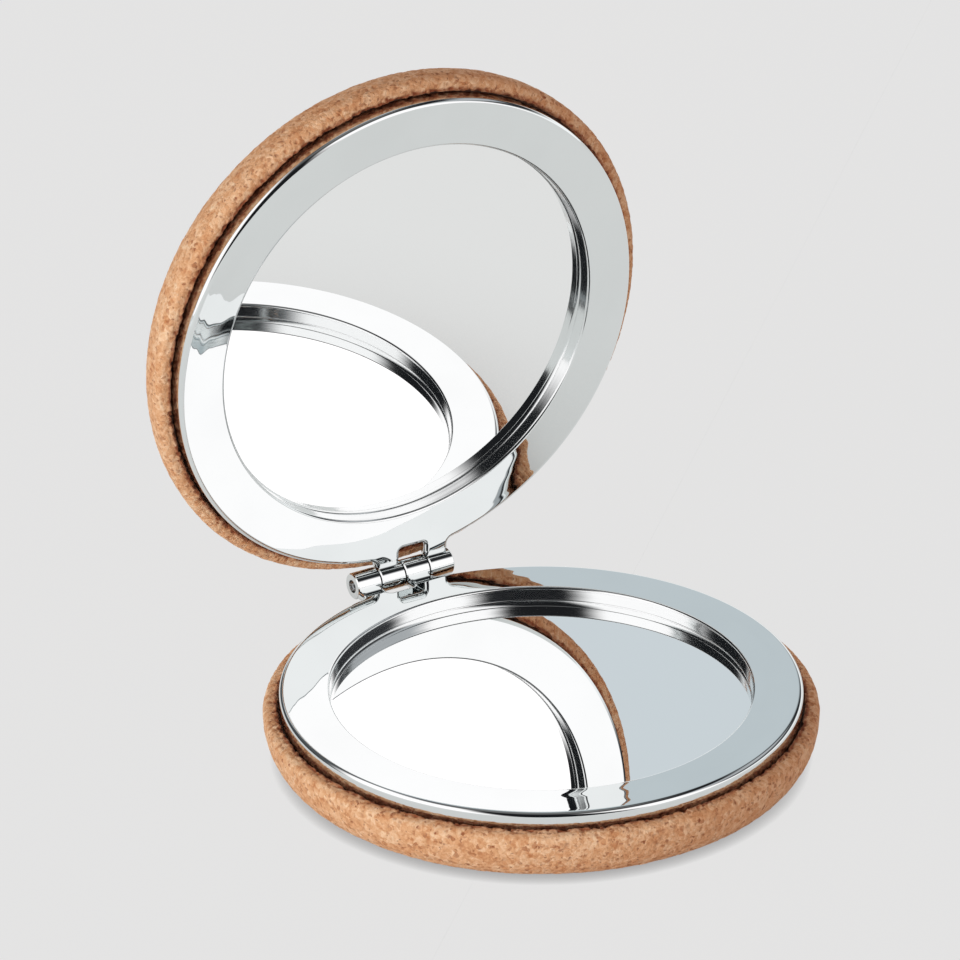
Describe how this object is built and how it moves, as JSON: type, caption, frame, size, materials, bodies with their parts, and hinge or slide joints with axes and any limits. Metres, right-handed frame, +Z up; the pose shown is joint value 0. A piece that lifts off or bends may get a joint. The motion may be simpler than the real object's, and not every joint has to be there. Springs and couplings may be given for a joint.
{
  "type": "compact mirror",
  "caption": "Round folding pocket mirror with cork covers, chrome frames and flat mirrors in both leaves, joined by a pin hinge.",
  "frame": {"origin": "centre of the base leaf's flat cork back, which the mirror stands on", "axes": "+Z up out of the base mirror, +Y towards the hinge, +X along the hinge axis"},
  "size_m": [0.0704, 0.0797, 0.0801],
  "materials": {
    "cork": "matte",
    "chrome": "polished",
    "mirror": "polished",
    "card": "matte",
    "foam": "matte",
    "tinplate": "satin",
    "steel": "satin"
  },
  "bodies": {
    "base": {"base_cork_cover": "cork", "base_tray": "tinplate", "base_mirror_cushion": "foam", "base_mirror_card": "card", "base_mirror_glass": "mirror", "base_frame": "chrome", "hinge_pin": "steel"},
    "lid": {"lid_cork_cover": "cork", "lid_tray": "tinplate", "lid_mirror_cushion": "foam", "lid_mirror_card": "card", "lid_mirror_glass": "mirror", "lid_frame": "chrome"}
  },
  "joints": [
    {"name": "lid_hinge", "type": "hinge", "parent": "base", "child": "lid", "pos_m": [0, 0.0355, 0.0094], "axis": [-1, 0, 0], "range_deg": [-85.5, 94.5]}
  ]
}
